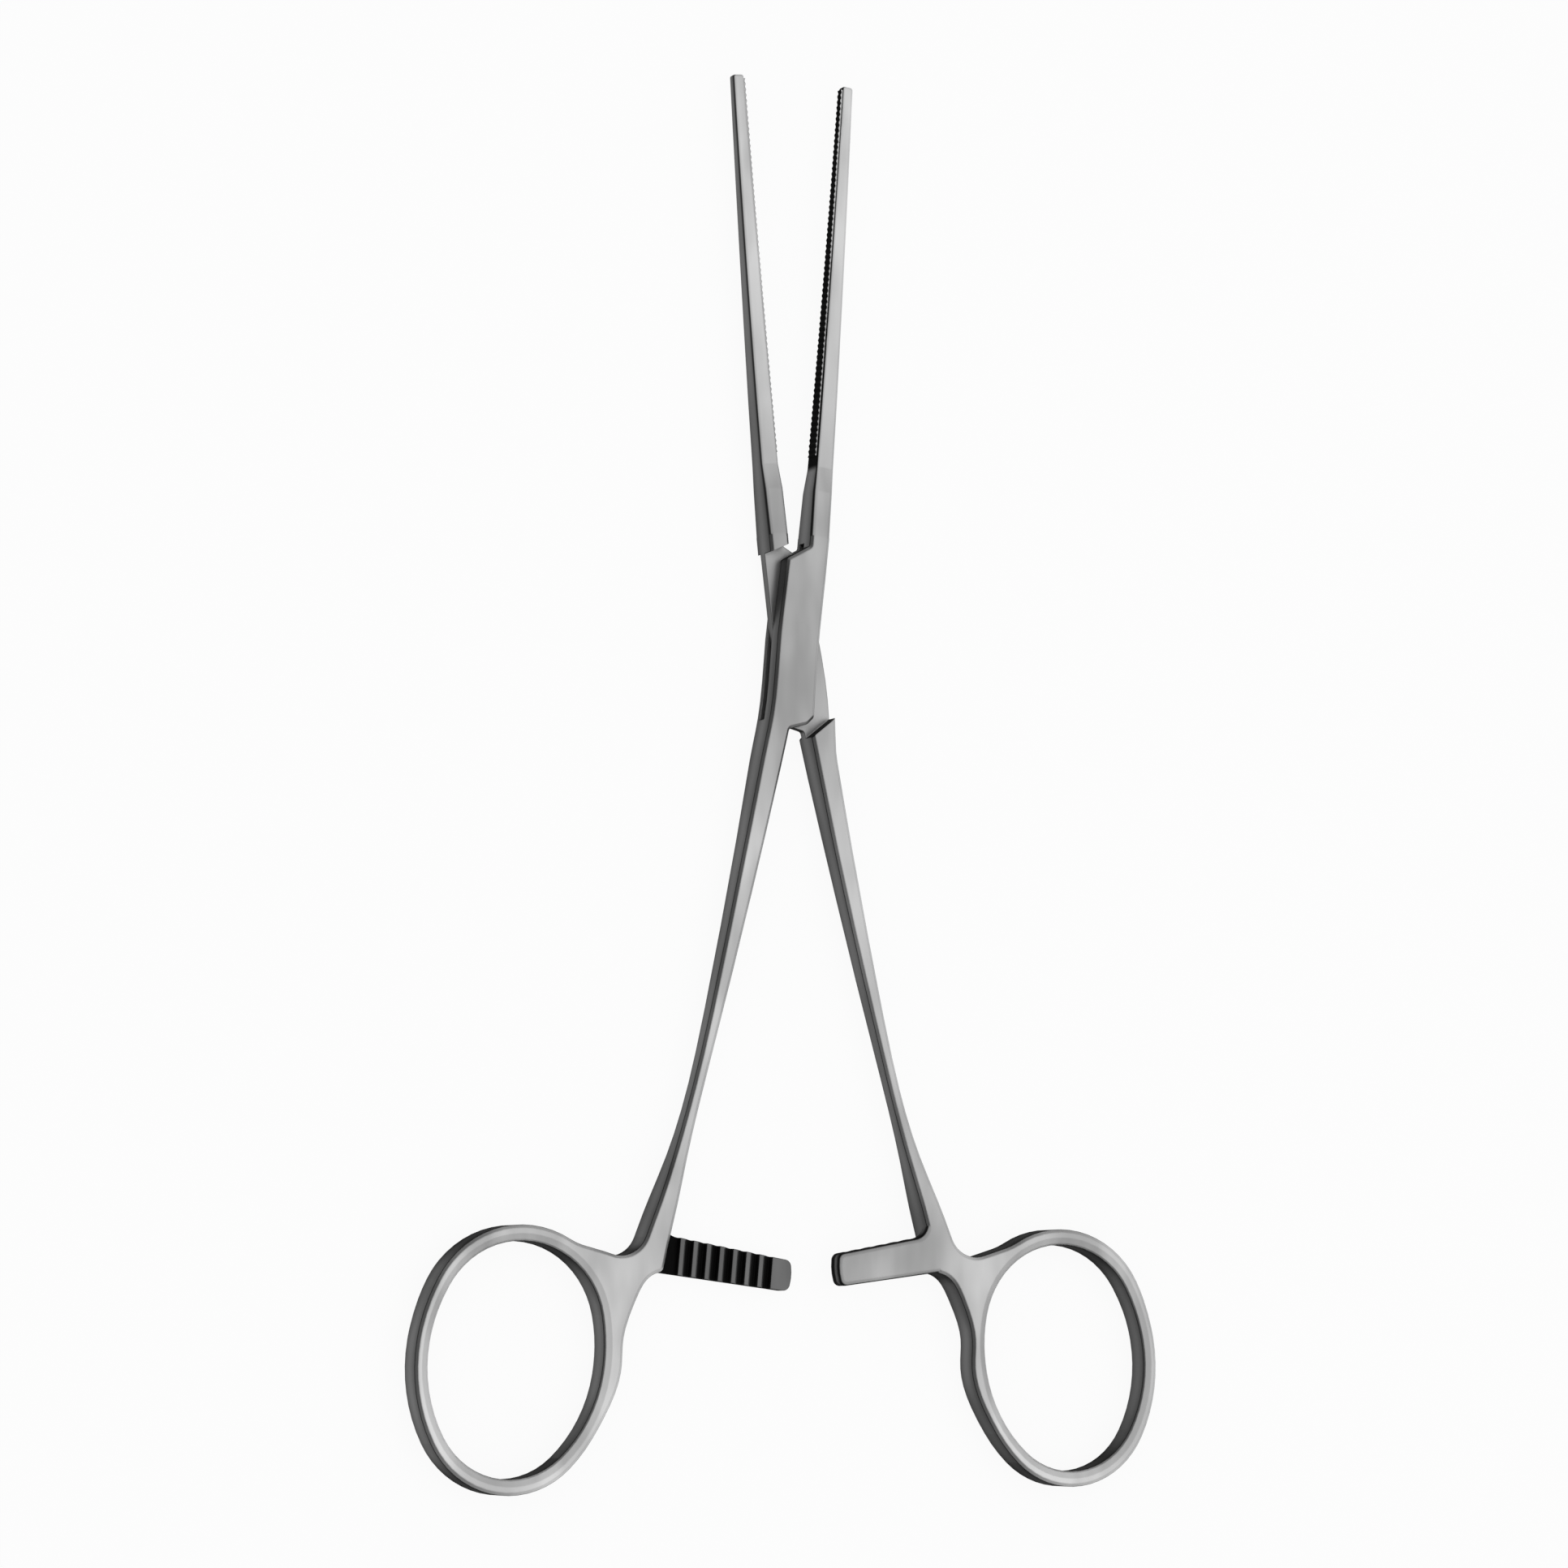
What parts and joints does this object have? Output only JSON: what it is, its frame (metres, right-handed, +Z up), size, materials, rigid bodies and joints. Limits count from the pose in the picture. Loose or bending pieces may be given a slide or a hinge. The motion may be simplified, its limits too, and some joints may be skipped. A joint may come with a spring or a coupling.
{
  "type": "vascular clamp",
  "caption": "Straight vascular clamp in polished stainless steel: long slim serrated jaws, box lock, ratchet arms and finger rings.",
  "frame": {"origin": "on the pivot axis of the box lock, in the plane the clamp lies on", "axes": "+Y towards the jaw tips, +X towards the box half's jaw, +Z up out of the face of the box; finger rings at -Y"},
  "size_m": [0.1122, 0.1961, 0.0048],
  "materials": {
    "forged_steel": "satin polished",
    "pin_steel": "ground flush and satin polished"
  },
  "bodies": {
    "box_side": {"box_half": "forged_steel", "lock_pin": "pin_steel"},
    "tongue_side": {"tongue_half": "forged_steel"}
  },
  "joints": [
    {"name": "box_lock", "type": "hinge", "parent": "box_side", "child": "tongue_side", "pos_m": [0, 0, 0.0024], "axis": [0, 0, 1], "range_deg": [-10.8, 40]}
  ]
}
